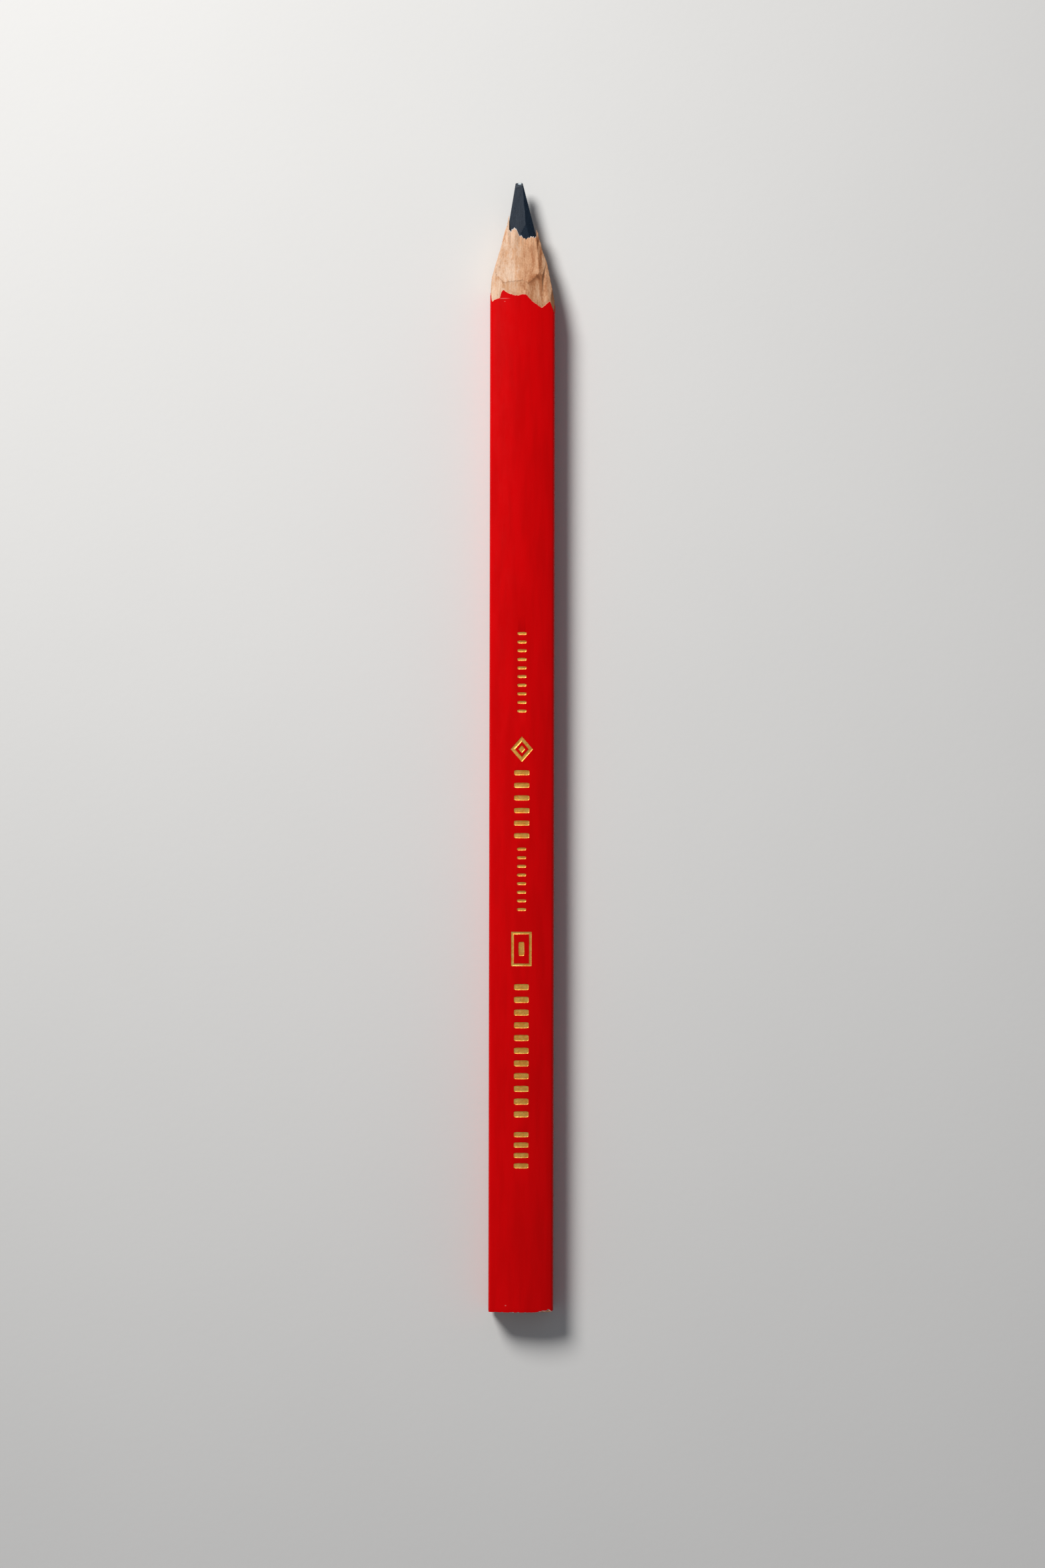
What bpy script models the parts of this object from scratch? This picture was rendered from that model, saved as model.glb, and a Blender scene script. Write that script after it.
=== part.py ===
"""A sharpened carpenter's pencil lying on one of its wide, bowed faces.

The casing is two grooved cedar slats glued round a flat graphite core. A thin primer and a red
lacquer cover them, and marks in gold foil are stamped on the upper face. The point is cut with a
knife: every stroke is a plane, and all the wood and the coats end on the same planes.

The frame: +Y runs from the butt to the point, +Z is up, and the origin is at the middle of the
underside. Sizes below are in millimetres, and angles are in degrees.
"""

import math
from collections import namedtuple

import bmesh
import bpy
from mathutils import Matrix, Vector

MM = 0.001

# Barrel
LENGTH = 178.0
WIDTH = 10.25
THICKNESS = 6.0
BOW_RADIUS = 17.0
CORNER_RADIUS = 0.7
BOW_SEGMENTS = 11
CORNER_SEGMENTS = 4

# Layers, from the outside in
LACQUER = 0.10
PRIMER = 0.05
GLUE = 0.06
FOIL = 0.02
GAP = 0.02

# Core and its groove
CORE_WIDTH = 4.3
CORE_THICKNESS = 1.8
CORE_EDGE = 0.15

# Parts of the frame that follow
MIDDLE = THICKNESS / 2
TIP = LENGTH / 2
BUTT = -LENGTH / 2
BOW_CENTRE = THICKNESS / 2 - BOW_RADIUS
CORNER_X = WIDTH / 2 - CORNER_RADIUS
CORNER_Z = BOW_CENTRE + math.sqrt((BOW_RADIUS - CORNER_RADIUS) ** 2 - CORNER_X**2)
BOW_HALF_ANGLE = math.degrees(math.atan2(CORNER_X, CORNER_Z - BOW_CENTRE))
WOOD_INSET = LACQUER + PRIMER + 2 * GAP
SLAT_FACE = GLUE / 2 + GAP

# A knife stroke faces a direction round the axis (0 is +X, 90 is up), slopes towards the point,
# and first bites into the barrel at a distance back from the tip.
Stroke = namedtuple("Stroke", "name direction slope start")
STROKES = (
    Stroke("lower_left", 126, 8.5, 18.8),
    Stroke("lower_middle", 92, 9.0, 17.8),
    Stroke("lower_right", 76, 9.0, 19.7),
    Stroke("upper_left", 107, 13.6, 17.2),
    Stroke("upper_middle", 88, 13.0, 17.2),
    Stroke("long_right", 55, 12.5, 19.1),
    Stroke("left_side", 178, 5.0, 18.7),
    Stroke("left_side_upper", 174, 16.5, 15.6),
    Stroke("right_side", 8, 11.2, 19.8),
    Stroke("right_side_upper", 2, 20.5, 16.3),
    Stroke("under_right", -60, 11.0, 19.4),
    Stroke("under_middle", -92, 12.5, 17.9),
    Stroke("under_left", -125, 11.0, 18.9),
)

# The core is rubbed to its own flats, each at a distance from the axis where the tip ends.
Flat = namedtuple("Flat", "name direction slope at_tip")
CORE_FLATS = (
    Flat("top_left", 99, 4.5, 0.30),
    Flat("top_right", 62, 7.0, 0.22),
    Flat("left", 177, 11.1, 0.95),
    Flat("right", 3, 14.6, 0.04),
    Flat("under_left", -98, 5.5, 0.30),
    Flat("under_right", -65, 8.0, 0.24),
)

# A band is a row of equal bars across the upper face, from a first to a last place along it.
Band = namedtuple("Band", "name first last count bar width")
BANDS = (
    Band("fine_upper", 17.8, 5.6, 10, 0.45, 1.4),
    Band("medium", -4.1, -14.0, 6, 0.80, 2.4),
    Band("fine_lower", -16.1, -25.6, 8, 0.45, 1.4),
    Band("bold", -37.8, -57.8, 11, 0.95, 2.3),
    Band("short", -61.0, -65.9, 4, 0.80, 2.3),
)
LOZENGE_Y = -0.4
LOZENGE_LENGTH = 4.0
LOZENGE_WIDTH = 3.5
LOZENGE_HOLE = 0.62
LOZENGE_CENTRE = 0.30
FRAME_Y = -31.8
FRAME_LENGTH = 5.4
FRAME_WIDTH = 3.2
FRAME_LINE = 0.40
FRAME_BAR_LENGTH = 2.2
FRAME_BAR_WIDTH = 0.9

COLOURS = {
    "graphite": ((0.040, 0.052, 0.070, 1), 0.45, 0.35),
    "cedar": ((0.68, 0.42, 0.25, 1), 0.62, 0.0),
    "glue": ((0.42, 0.27, 0.13, 1), 0.50, 0.0),
    "primer": ((0.80, 0.68, 0.62, 1), 0.60, 0.0),
    "lacquer": ((0.62, 0.002, 0.004, 1), 0.28, 0.0),
    "foil": ((0.72, 0.42, 0.16, 1), 0.30, 1.0),
}


def clear_scene():
    for obj in list(bpy.data.objects):
        bpy.data.objects.remove(obj, do_unlink=True)


def new_collection(name):
    collection = bpy.data.collections.new(name)
    bpy.context.scene.collection.children.link(collection)
    return collection


def make_material(name):
    colour, roughness, metallic = COLOURS[name]
    material = bpy.data.materials.new(name)
    material.use_nodes = True
    shader = material.node_tree.nodes["Principled BSDF"]
    shader.inputs["Base Color"].default_value = colour
    shader.inputs["Roughness"].default_value = roughness
    shader.inputs["Metallic"].default_value = metallic
    return material


def arc(centre, radius, start, end, segments):
    """Points on an arc in the cross-section plane, both ends included."""
    angles = (math.radians(start + (end - start) * i / segments) for i in range(segments + 1))
    return [(centre[0] + radius * math.cos(a), centre[1] + radius * math.sin(a)) for a in angles]


def bow(inset, half_angle=BOW_HALF_ANGLE, segments=BOW_SEGMENTS):
    """The upper bowed face from right to left, moved inwards by the inset."""
    return arc((0, BOW_CENTRE), BOW_RADIUS - inset, 90 - half_angle, 90 + half_angle, segments)


def barrel_outline(inset):
    """The whole cross-section about its middle, moved inwards by the inset."""
    radius = CORNER_RADIUS - inset
    right = arc((CORNER_X, CORNER_Z), radius, 0, 90 - BOW_HALF_ANGLE, CORNER_SEGMENTS)
    upper_right = right[:-1] + bow(inset)
    upper_left = [(-x, z) for x, z in reversed(right[:-1])]
    upper = upper_right + upper_left
    return upper + [(-x, -z) for x, z in upper]


def slat_outline():
    """The upper slat: half the barrel, with a groove for half of the core."""
    upper = [point for point in barrel_outline(WOOD_INSET) if point[1] > 0]
    half_width = WIDTH / 2 - WOOD_INSET
    groove_x = CORE_WIDTH / 2 + GAP
    groove_z = CORE_THICKNESS / 2 + GAP
    foot = [
        (-half_width, SLAT_FACE),
        (-groove_x, SLAT_FACE),
        (-groove_x, groove_z - CORE_EDGE),
        (CORE_EDGE - groove_x, groove_z),
        (groove_x - CORE_EDGE, groove_z),
        (groove_x, groove_z - CORE_EDGE),
        (groove_x, SLAT_FACE),
        (half_width, SLAT_FACE),
    ]
    return upper + foot


def core_outline():
    x = CORE_WIDTH / 2
    z = CORE_THICKNESS / 2
    corner = [(x, z - CORE_EDGE), (x - CORE_EDGE, z)]
    upper = corner + [(-px, pz) for px, pz in reversed(corner)]
    return upper + [(-px, -pz) for px, pz in upper]


def rectangle(width, length):
    return [
        (width / 2, -length / 2),
        (width / 2, length / 2),
        (-width / 2, length / 2),
        (-width / 2, -length / 2),
    ]


def lozenge(scale):
    x = LOZENGE_WIDTH / 2 * scale
    y = LOZENGE_LENGTH / 2 * scale
    return [(x, 0), (0, y), (-x, 0), (0, -y)]


def flat_solid(name, outlines, depth):
    """A mesh of flat outlines, in the curve's own XY plane, filled and given a depth along Z."""
    curve = bpy.data.curves.new(name, "CURVE")
    curve.dimensions = "2D"
    curve.fill_mode = "BOTH"
    curve.extrude = depth / 2 * MM
    for outline in outlines:
        spline = curve.splines.new("POLY")
        spline.points.add(len(outline) - 1)
        for point, (x, y) in zip(spline.points, outline):
            point.co = (x * MM, y * MM, 0, 1)
        spline.use_cyclic_u = True
    drawn = bpy.data.objects.new(name, curve)
    bpy.context.scene.collection.objects.link(drawn)
    bpy.context.view_layer.update()
    mesh = bpy.data.meshes.new_from_object(drawn.evaluated_get(bpy.context.evaluated_depsgraph_get()))
    mesh.name = name
    bpy.data.objects.remove(drawn)
    bpy.data.curves.remove(curve)
    bm = bmesh.new()
    bm.from_mesh(mesh)
    bmesh.ops.remove_doubles(bm, verts=bm.verts, dist=1e-7)
    bmesh.ops.recalc_face_normals(bm, faces=bm.faces)
    bm.to_mesh(mesh)
    bm.free()
    return mesh


def add_object(name, mesh, collection, matrix, material=None):
    mesh.transform(matrix)
    obj = bpy.data.objects.new(name, mesh)
    collection.objects.link(obj)
    if material:
        mesh.materials.clear()
        mesh.materials.append(material)
        mesh.shade_smooth()
        mesh.set_sharp_from_angle(angle=math.radians(25))
    return obj


def along_barrel(first, last):
    """Stands a flat solid's outline across the barrel, and its depth along it."""
    upright = Matrix.Rotation(math.radians(90), 4, "X")
    return Matrix.Translation(Vector((0, (first + last) / 2, MIDDLE)) * MM) @ upright


def barrel_piece(name, outlines, material, form, first=BUTT, last=TIP):
    mesh = flat_solid(name, outlines, last - first)
    obj = add_object(name, mesh, parts, along_barrel(first, last), material)
    if form:
        cut = obj.modifiers.new("sharpening", "BOOLEAN")
        cut.operation = "INTERSECT"
        cut.object = form
    return obj


def mirrored_down(obj, name):
    """A copy of an upper piece turned over onto the lower side, before it is sharpened."""
    mesh = obj.data.copy()
    mesh.name = name
    about_middle = Matrix.Translation((0, 0, MIDDLE * MM))
    turn = about_middle @ Matrix.Rotation(math.pi, 4, "Y") @ about_middle.inverted()
    mesh.transform(turn)
    copy = bpy.data.objects.new(name, mesh)
    parts.objects.link(copy)
    cut = copy.modifiers.new("sharpening", "BOOLEAN")
    cut.operation = "INTERSECT"
    cut.object = obj.modifiers["sharpening"].object
    return copy


def support(direction):
    """How far the uncut barrel reaches from its axis in a direction."""
    angle = math.radians(direction)
    if abs(direction % 180 - 90) <= BOW_HALF_ANGLE:
        return BOW_CENTRE * abs(math.sin(angle)) + BOW_RADIUS
    return CORNER_X * abs(math.cos(angle)) + CORNER_Z * abs(math.sin(angle)) + CORNER_RADIUS


def convex_form(name, planes):
    """A block cut to a list of planes, each a direction, a slope, and its reach at the tip."""
    bm = bmesh.new()
    bmesh.ops.create_cube(bm, size=1)
    block = Vector((WIDTH + 4, LENGTH + 4, THICKNESS + 4)) * MM
    bmesh.ops.scale(bm, vec=block, verts=bm.verts)
    bmesh.ops.translate(bm, vec=(0, -2 * MM, MIDDLE * MM), verts=bm.verts)
    for direction, slope, at_tip in planes:
        turn = math.radians(direction)
        lean = math.radians(slope)
        across = Vector((math.cos(turn), 0, math.sin(turn)))
        point = across * at_tip + Vector((0, TIP, MIDDLE))
        normal = across * math.cos(lean) + Vector((0, math.sin(lean), 0))
        geometry = bm.verts[:] + bm.edges[:] + bm.faces[:]
        cut = bmesh.ops.bisect_plane(
            bm, geom=geometry, plane_co=point * MM, plane_no=normal, clear_outer=True
        )
        edges = [item for item in cut["geom_cut"] if isinstance(item, bmesh.types.BMEdge)]
        bmesh.ops.contextual_create(bm, geom=edges)
    bmesh.ops.recalc_face_normals(bm, faces=bm.faces)
    mesh = bpy.data.meshes.new(name)
    bm.to_mesh(mesh)
    bm.free()
    form = add_object(name, mesh, cutters, Matrix.Identity(4))
    form.hide_render = True
    form.display_type = "WIRE"
    return form


def sharpening_form():
    planes = []
    for stroke in STROKES:
        reach = support(stroke.direction) - stroke.start * math.tan(math.radians(stroke.slope))
        planes.append((stroke.direction, stroke.slope, reach))
    return convex_form("sharpening_form", planes)


def core_form():
    return convex_form("core_form", [(flat.direction, flat.slope, flat.at_tip) for flat in CORE_FLATS])


def foil_layer(width):
    """The foil's cross-section on the upper face: a thin bowed strip of a given width."""
    half_angle = math.degrees(math.asin(width / 2 / BOW_RADIUS))
    under = bow(-GAP, half_angle, 4)
    over = bow(-GAP - FOIL, half_angle, 4)
    return under + over[::-1]


def foil_bar(name, y, length, width, material):
    return barrel_piece(name, [foil_layer(width)], material, None, y - length / 2, y + length / 2)


def foil_shape(name, outlines, y, length, width, material):
    """Foil cut to flat outlines seen from above."""
    obj = foil_bar(name, y, length + 1, width + 0.5, material)
    mesh = flat_solid(name + "_stamp", outlines, THICKNESS)
    above = Matrix.Translation(Vector((0, y, THICKNESS)) * MM)
    stamp = add_object(name + "_stamp", mesh, cutters, above)
    stamp.hide_render = True
    stamp.display_type = "WIRE"
    cut = obj.modifiers.new("stamp", "BOOLEAN")
    cut.operation = "INTERSECT"
    cut.object = stamp
    return obj


def make_casing(form):
    cedar = make_material("cedar")
    glue = make_material("glue")
    slat = barrel_piece("upper_slat", [slat_outline()], cedar, form)
    mirrored_down(slat, "lower_slat")
    inner = CORE_WIDTH / 2 + GAP
    outer = WIDTH / 2 - WOOD_INSET
    middle = (inner + outer) / 2
    for side, name in ((-1, "glue_line_left"), (1, "glue_line_right")):
        film = [(side * middle + x, z) for x, z in rectangle(outer - inner, GLUE)]
        barrel_piece(name, [film], glue, form)


def make_core():
    barrel_piece("graphite_core", [core_outline()], make_material("graphite"), core_form())


def make_coats(form):
    primer = [barrel_outline(LACQUER + GAP), barrel_outline(LACQUER + GAP + PRIMER)]
    barrel_piece("primer_coat", primer, make_material("primer"), form)
    lacquer = [barrel_outline(0), barrel_outline(LACQUER)]
    barrel_piece("lacquer_coat", lacquer, make_material("lacquer"), form)


def make_foil():
    gold = make_material("foil")
    for band in BANDS:
        step = (band.last - band.first) / (band.count - 1)
        for i in range(band.count):
            name = f"foil_{band.name}_{i + 1:02d}"
            foil_bar(name, band.first + i * step, band.bar, band.width, gold)
    ring = [lozenge(1), lozenge(LOZENGE_HOLE)]
    foil_shape("foil_lozenge", ring, LOZENGE_Y, LOZENGE_LENGTH, LOZENGE_WIDTH, gold)
    centre = [lozenge(LOZENGE_CENTRE)]
    foil_shape("foil_lozenge_centre", centre, LOZENGE_Y, LOZENGE_LENGTH, LOZENGE_WIDTH, gold)
    inside = rectangle(FRAME_WIDTH - 2 * FRAME_LINE, FRAME_LENGTH - 2 * FRAME_LINE)
    frame = [rectangle(FRAME_WIDTH, FRAME_LENGTH), inside]
    foil_shape("foil_frame", frame, FRAME_Y, FRAME_LENGTH, FRAME_WIDTH, gold)
    foil_bar("foil_frame_bar", FRAME_Y, FRAME_BAR_LENGTH, FRAME_BAR_WIDTH, gold)


clear_scene()
parts = new_collection("carpenter_pencil")
cutters = new_collection("cutters")
knife = sharpening_form()
make_casing(knife)
make_core()
make_coats(knife)
make_foil()
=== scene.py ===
"""The looks of a sharpened carpenter's pencil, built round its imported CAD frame.

Sizes are in millimetres and angles in degrees until a mesh is made, and the studio's are in metres.
Cross-sections are about the barrel's axis: x to the right, z up. Places along the pencil are y, from
the butt to the tip.
"""

import math
from collections import namedtuple

import bmesh
import bpy
import numpy as np
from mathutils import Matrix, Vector


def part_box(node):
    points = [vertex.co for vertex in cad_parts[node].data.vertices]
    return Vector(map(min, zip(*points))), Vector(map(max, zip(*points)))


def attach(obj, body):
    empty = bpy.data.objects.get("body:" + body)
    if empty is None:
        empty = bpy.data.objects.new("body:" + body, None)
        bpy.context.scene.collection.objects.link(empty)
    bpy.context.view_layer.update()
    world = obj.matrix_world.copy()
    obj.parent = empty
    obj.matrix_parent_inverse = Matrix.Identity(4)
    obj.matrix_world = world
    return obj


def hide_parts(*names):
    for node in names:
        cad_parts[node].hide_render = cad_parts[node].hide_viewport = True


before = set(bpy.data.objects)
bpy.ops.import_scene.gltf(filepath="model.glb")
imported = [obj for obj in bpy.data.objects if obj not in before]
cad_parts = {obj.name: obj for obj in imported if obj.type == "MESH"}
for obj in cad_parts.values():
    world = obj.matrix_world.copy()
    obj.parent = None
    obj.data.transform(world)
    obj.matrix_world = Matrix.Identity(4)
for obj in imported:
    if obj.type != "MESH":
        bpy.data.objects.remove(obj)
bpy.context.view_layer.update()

MM = 0.001


def node_size(node):
    low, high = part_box(node)
    return (high - low) / MM, low / MM, high / MM


# The barrel, from the frame
LACQUER_SIZE, LACQUER_LOW, _ = node_size("lacquer_coat")
CORE_SIZE, CORE_LOW, CORE_HIGH = node_size("graphite_core")
WIDTH = LACQUER_SIZE.x
THICKNESS = LACQUER_SIZE.z
MIDDLE = LACQUER_LOW.z + THICKNESS / 2
BUTT = CORE_LOW.y
TIP = CORE_HIGH.y
CORE_WIDTH = CORE_SIZE.x
CORE_THICKNESS = CORE_SIZE.z
CORE_EDGE = 0.15  # the core's bevel
BOW_RADIUS = 17.0  # of the two wide faces
CORNER_RADIUS = 0.7
CORNER_STEPS = 9

BOW_CENTRE = THICKNESS / 2 - BOW_RADIUS
CORNER_X = WIDTH / 2 - CORNER_RADIUS
CORNER_Z = BOW_CENTRE + math.sqrt((BOW_RADIUS - CORNER_RADIUS) ** 2 - CORNER_X**2)
BOW_HALF_ANGLE = math.degrees(math.atan2(CORNER_X, CORNER_Z - BOW_CENTRE))

# The coats as they really are
LACQUER = 0.09
PRIMER = 0.012
WOOD_INSET = LACQUER + PRIMER
HAIR = 0.004  # room between pieces that touch
SEAM = 0.03  # half the glue film's thickness
STAMP_DEPTH = 0.045
FOIL = 0.008
STAMP_HALF_WIDTH = 2.0  # half the width of the strip that holds the foil marks

FAR = 99.0  # beyond the pencil
GRAZING = 0.02  # a ray that meets a surface at less than this slant misses it
SHARP_ANGLE = 30

# A knife stroke faces a direction round the axis (0 is +X, 90 is up) and first bites at a distance
# from the tip. It slopes in, flattens by its bend, and is hollow across, about a sideways centre.
# Where it meets a stroke of a higher rank it tore the wood, which is darkened there with painted shade,
# and its reach says how far off that one's surface the tear and its shade reach. Its tone is 0 on clean
# pale wood and 1 on brown wood; part of the tone is painted shade, darker on strokes that face away
# from the light, and part is rubbed wood. The first eight are those of the photo, then come two on the
# left side, two on the right side and four underneath.
Stroke = namedtuple("Stroke", "direction slope start bend hollow centre rank reach tone")
STROKES = (
    Stroke(75.7, 10.3, 20.11, 0.017, -0.02, -1.4, 1, 0.16, 0.85),
    Stroke(84.7, 7.7, 20.38, -0.025, 0, 0, 0, 0, 0.5),
    Stroke(110.8, 9.6, 19.03, 0.049, 0, 0, 1, 0.12, 0.05),
    Stroke(91.0, 15.7, 18.06, 0.105, 0.008, 0, 1, 0.04, 0.4),
    Stroke(58.0, 14.0, 19.74, 0, 0.02, 0, 0, 0.14, 0.45),
    Stroke(93.0, 14.8, 17.05, 0.009, 0.012, 0, 2, 0, 0.1),
    Stroke(85.5, 18.94, 16.9, 0.022, 0.012, 0, 2, 0, 0.4),
    Stroke(35, 13.4, 20.8, 0.047, 0.05, 0, 0, 0, 1.1),
    Stroke(178, 5.0, 18.7, 0, 0.01, 0, 0, 0, 0.3),
    Stroke(174, 16.5, 16.8, 0.002, 0.03, 0, 0, 0, 0.2),
    Stroke(0, 11.2, 19.3, 0, 0.01, 0, 0, 0, 0.9),
    Stroke(2, 20.5, 16.3, 0.001, 0.03, 0, 0, 0, 0.8),
    Stroke(-58, 11.5, 19.6, 0.005, 0.05, 0, 0, 0, 0.6),
    Stroke(-82, 14.5, 18.0, 0.010, 0.03, 0, 0, 0, 0.2),
    Stroke(-97, 13.0, 18.8, 0.008, 0.03, 0, 0, 0, 0.4),
    Stroke(-124, 11.5, 19.3, 0.006, 0.04, 0, 0, 0, 0.5),
)
LEAST_REACH = 0.02  # no stroke cuts closer to the axis
TORN_DEPTH = 0.008
TONE_BLEND = 0.03  # how far apart two strokes' surfaces may lie for their tones to mix

# The first stroke split the wood along the grain. It counts only left of the split, and the second one
# only right of it. The split's wall faces up and to the right, and its foot is torn and darkened with
# painted shade.
LEFT_OF_SPLIT, RIGHT_OF_SPLIT = 0, 1
SPLIT_X = 3.2
SPLIT_FROM = TIP - 20.0
SPLIT_LEAN = -0.035  # its change of x along the pencil
SPLIT_FACE = 40.0
# How dark the painted shade at the torn foot of the split's wall is, and how far from the wall the tear
# and its shade reach
SPLIT_TORN_AND_SHADE = 0.62
SPLIT_TORN_AND_SHADE_REACH = 0.11

# Places where the wood is browner (above zero) or cleaner than its stroke: x, distance from the tip,
# two sizes and the change of tone. Most of the browner ones are painted shade, below the crown's
# stepped lower edges and along the shadowed line by the split; the others are the wood's own colour.
StainOrShade = namedtuple("StainOrShade", "x back wide long tone")
STAINS_AND_SHADE = (
    StainOrShade(0.5, 17.2, 0.5, 0.8, 0.6),
    StainOrShade(1.15, 15.6, 0.5, 0.45, 0.6),
    StainOrShade(2.4, 17.9, 0.35, 1.3, -0.5),
    StainOrShade(3.4, 15.8, 0.5, 1.6, 0.45),
    StainOrShade(1.2, 12.5, 1.1, 3.4, 0.4),
    StainOrShade(-0.4, 15.0, 1.0, 0.7, 0.2),
    StainOrShade(-1.9, 13.5, 0.5, 2.5, -0.1),
    StainOrShade(-0.1, 16.3, 0.6, 0.5, 0.35),
    StainOrShade(2.80, 11.9, 0.22, 1.6, 1.1),
    StainOrShade(2.35, 9.5, 0.2, 1.0, 1.1),
    StainOrShade(2.3, 15.1, 0.7, 0.4, 0.8),
    StainOrShade(-3.9, 15.4, 0.35, 0.4, 0.6),
    StainOrShade(-3.0, 16.3, 0.35, 0.4, 0.5),
    StainOrShade(2.45, 16.4, 0.3, 0.6, -0.3),
)

# The core is rubbed to flats of its own, each at a distance from the axis where the tip ends.
Flat = namedtuple("Flat", "direction slope at_tip")
CORE_FLATS = (
    Flat(99, 4.5, 0.30),
    Flat(62, 7.0, 0.22),
    Flat(177, 9.3, 1.14),
    Flat(3, 14.5, -0.04),
    Flat(-98, 5.5, 0.30),
    Flat(-65, 8.0, 0.24),
    Flat(104, 20.0, 0.20),
    Flat(-90, 50.0, 0.12),
)

# How far the thin end of the wood runs out over the core, by its place across the pencil
TEETH_X = (-2.6, -2.2, -2.1, -2.0, -1.85, -1.6, -1.2, -0.8, -0.5, -0.1, 0.4, 0.9, 1.3, 1.6, 2.0, 2.4)
TEETH_Y = (0.0, 0.0, 0.95, 0.95, 0.2, 0.5, 0.55, 0.0, -0.4, -0.45, -0.5, 0.1, 0.4, 0.5, 0.6, 0.7)

# How far the paint's edge lies beyond where the strokes meet the barrel, by its place across it
PAINT_X = (-5.0, -4.5, -4.2, -3.6, -3.4, -3.15, -2.9, -1.5, 0.0,
           0.5, 0.85, 2.0, 3.0, 3.4, 4.2, 4.8, 5.1)
PAINT_Y = (-0.2, 0.25, 0.1, -0.25, 0.2, 0.3, -0.25, -0.1, 0.1,
           0.1, -0.15, 0.0, -0.05, -0.05, 0.0, 0.3, -0.2)

# A band is a row of equal bars across the upper face, from a first to a last place along it.
Band = namedtuple("Band", "name first last count bar width")
BANDS = (
    Band("fine_upper", 17.8, 5.6, 10, 0.45, 1.4),
    Band("medium", -4.1, -14.0, 6, 0.80, 2.4),
    Band("fine_lower", -16.1, -25.6, 8, 0.45, 1.4),
    Band("bold", -37.8, -57.8, 11, 0.95, 2.3),
    Band("short", -61.0, -65.9, 4, 0.80, 2.3),
)
LOZENGE_Y = -0.4
LOZENGE_LENGTH = 4.0
LOZENGE_WIDTH = 3.5
LOZENGE_HOLE = 0.62
LOZENGE_CENTRE = 0.30
FRAME_Y = -31.8
FRAME_LENGTH = 5.4
FRAME_WIDTH = 3.2
FRAME_LINE = 0.40
FRAME_BAR_LENGTH = 2.2
FRAME_BAR_WIDTH = 0.9


# Repeatable noise

def lattice(ix, iy, seed):
    """A number from 0 to 1 for each point of a grid, from a common hash of its whole coordinates."""
    wave = np.sin(ix * 127.1 + iy * 311.7 + seed * 74.7) * 43758.5453
    return wave - np.floor(wave)


def noise(x, y, seed):
    """Smooth noise from -0.5 to 0.5 that changes over a distance of one."""
    ix, iy = np.floor(x), np.floor(y)
    fx, fy = x - ix, y - iy
    fx, fy = fx * fx * (3 - 2 * fx), fy * fy * (3 - 2 * fy)
    near = lattice(ix, iy, seed) * (1 - fx) + lattice(ix + 1, iy, seed) * fx
    far = lattice(ix, iy + 1, seed) * (1 - fx) + lattice(ix + 1, iy + 1, seed) * fx
    return near * (1 - fy) + far * fy - 0.5


def smoothstep(low, high, value):
    t = np.clip((value - low) / (high - low), 0, 1)
    return t * t * (3 - 2 * t)


# The barrel's outline: places and outward normals, with the same columns in every coat

def upper_outline(spacing, stamp_spacing=None):
    """The upper half from the right seam to the left seam, as points and normals."""
    flat_z = np.linspace(0, CORNER_Z, max(3, round(CORNER_Z / spacing)))
    flat = np.stack([np.full_like(flat_z, WIDTH / 2), flat_z], 1)
    flat_normal = np.tile([1.0, 0.0], (len(flat), 1))
    turn = np.radians(np.linspace(0, 90 - BOW_HALF_ANGLE, CORNER_STEPS)[1:])
    corner_normal = np.stack([np.cos(turn), np.sin(turn)], 1)
    corner = [CORNER_X, CORNER_Z] + CORNER_RADIUS * corner_normal
    reach = corner[-1, 0]
    if stamp_spacing:
        inner = np.arange(0, STAMP_HALF_WIDTH, stamp_spacing)
        outer = np.linspace(STAMP_HALF_WIDTH, reach, round((reach - STAMP_HALF_WIDTH) / spacing))
        half = np.concatenate([inner, outer])[1:-1]
    else:
        half = np.linspace(0, reach, round(reach / spacing))[1:-1]
    bow_x = np.concatenate([half[::-1], [0], -half])
    bow_normal = np.stack([bow_x / BOW_RADIUS, np.sqrt(1 - (bow_x / BOW_RADIUS) ** 2)], 1)
    bow = [0, BOW_CENTRE] + BOW_RADIUS * bow_normal
    right = np.concatenate([flat, corner])
    right_normal = np.concatenate([flat_normal, corner_normal])
    points = np.concatenate([right, bow, right[::-1] * [-1, 1]])
    normals = np.concatenate([right_normal, bow_normal, right_normal[::-1] * [-1, 1]])
    return points, normals


def whole_outline(spacing, stamp_spacing, under_spacing):
    points, normals = upper_outline(spacing, stamp_spacing)
    under_points, under_normals = upper_outline(under_spacing)
    under_points, under_normals = -under_points[1:-1], -under_normals[1:-1]
    return np.concatenate([points, under_points]), np.concatenate([normals, under_normals])


# The cut end

def support(direction):
    """How far the uncut barrel reaches from its axis in a direction."""
    angle = math.radians(direction)
    if abs(direction % 180 - 90) <= BOW_HALF_ANGLE:
        return BOW_CENTRE * abs(math.sin(angle)) + BOW_RADIUS
    return CORNER_X * abs(math.cos(angle)) + CORNER_Z * abs(math.sin(angle)) + CORNER_RADIUS


def stroke_reach(stroke, run):
    """How far from the axis a stroke's surface lies, at distances from where it first bites."""
    reach = support(stroke.direction) - math.tan(math.radians(stroke.slope)) * run
    return reach + stroke.bend * run**2 / 2


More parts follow.
